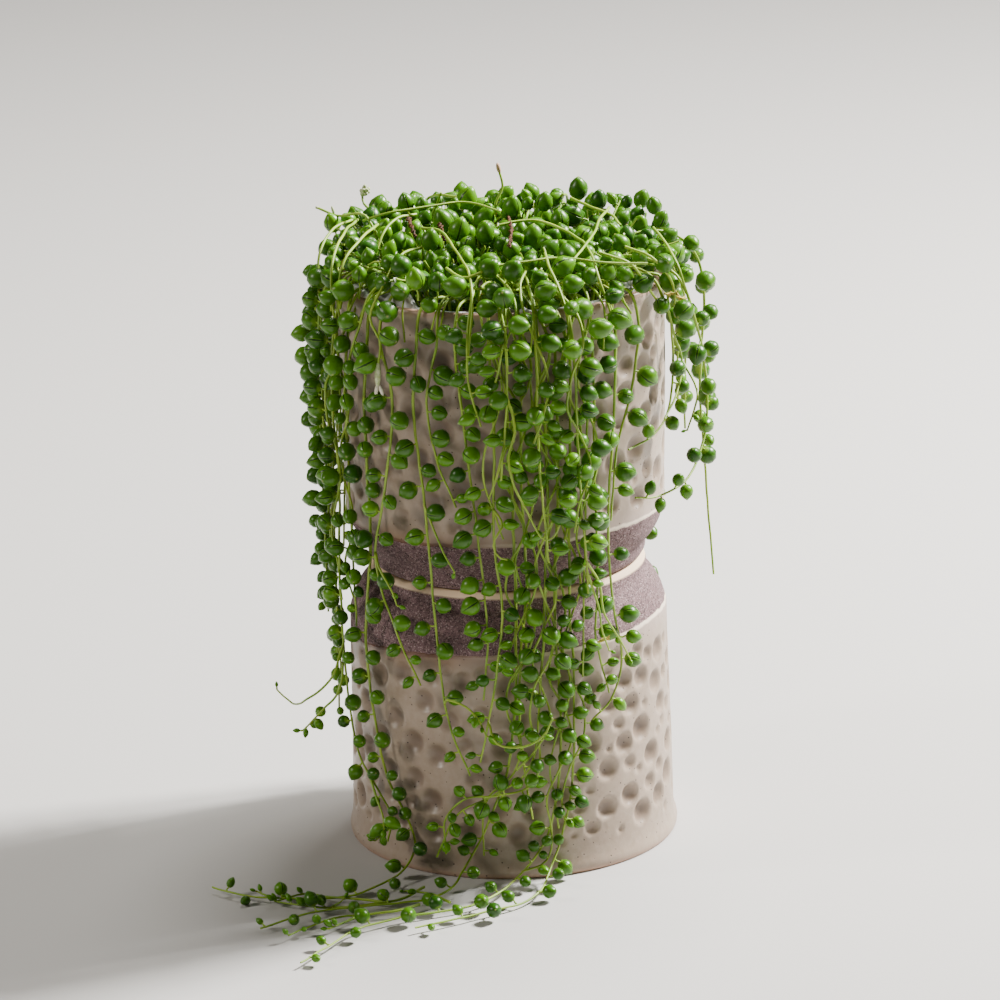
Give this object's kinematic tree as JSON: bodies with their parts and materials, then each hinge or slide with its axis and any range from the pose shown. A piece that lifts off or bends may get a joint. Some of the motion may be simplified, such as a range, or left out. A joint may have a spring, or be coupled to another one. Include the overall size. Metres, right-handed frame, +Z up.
{
  "type": "potted string of pearls",
  "caption": "String-of-pearls plant whose beaded stems hang over a dimpled stoneware planter and trail on the surface, with a matching planter turned upside down as its stand.",
  "frame": {"origin": "on the surface, at the middle of the footprint of the whole object, trailing stems included", "axes": "+Z up along the planters' common axis, -Y towards the viewer, where the stems trail, +X to the viewer's right"},
  "size_m": [0.2028, 0.2346, 0.258],
  "materials": {
    "speckled_glaze": "satin",
    "grey_plastic": "satin",
    "potting_soil": "matte",
    "pearl_leaf": "satin"
  },
  "bodies": {
    "root": {"crown_01": "pearl_leaf", "crown_02": "pearl_leaf", "crown_03": "pearl_leaf", "crown_04": "pearl_leaf", "crown_05": "pearl_leaf", "crown_06": "pearl_leaf", "crown_07": "pearl_leaf", "flower_stalk_1": "pearl_leaf", "flower_stalk_2": "pearl_leaf", "flower_stalk_3": "pearl_leaf", "lower_pot": "speckled_glaze", "nursery_pot": "grey_plastic", "soil": "potting_soil", "strand_01": "pearl_leaf", "strand_02": "pearl_leaf", "strand_03": "pearl_leaf", "strand_04": "pearl_leaf", "strand_05": "pearl_leaf", "strand_06": "pearl_leaf", "strand_07": "pearl_leaf", "strand_08": "pearl_leaf", "strand_09": "pearl_leaf", "strand_10": "pearl_leaf", "strand_11": "pearl_leaf", "strand_12": "pearl_leaf", "strand_13": "pearl_leaf", "strand_14": "pearl_leaf", "strand_15": "pearl_leaf", "strand_16": "pearl_leaf", "strand_17": "pearl_leaf", "strand_18": "pearl_leaf", "strand_19": "pearl_leaf", "strand_20": "pearl_leaf", "strand_21": "pearl_leaf", "strand_22": "pearl_leaf", "strand_23": "pearl_leaf", "strand_24": "pearl_leaf", "strand_25": "pearl_leaf", "strand_26": "pearl_leaf", "strand_27": "pearl_leaf", "strand_28": "pearl_leaf", "strand_29": "pearl_leaf", "strand_30": "pearl_leaf", "strand_31": "pearl_leaf", "strand_32": "pearl_leaf", "strand_33": "pearl_leaf", "strand_34": "pearl_leaf", "strand_35": "pearl_leaf", "strand_36": "pearl_leaf", "strand_37": "pearl_leaf", "strand_38": "pearl_leaf", "strand_39": "pearl_leaf", "strand_40": "pearl_leaf", "strand_41": "pearl_leaf", "strand_42": "pearl_leaf", "strand_43": "pearl_leaf", "upper_pot": "speckled_glaze"}
  },
  "joints": []
}
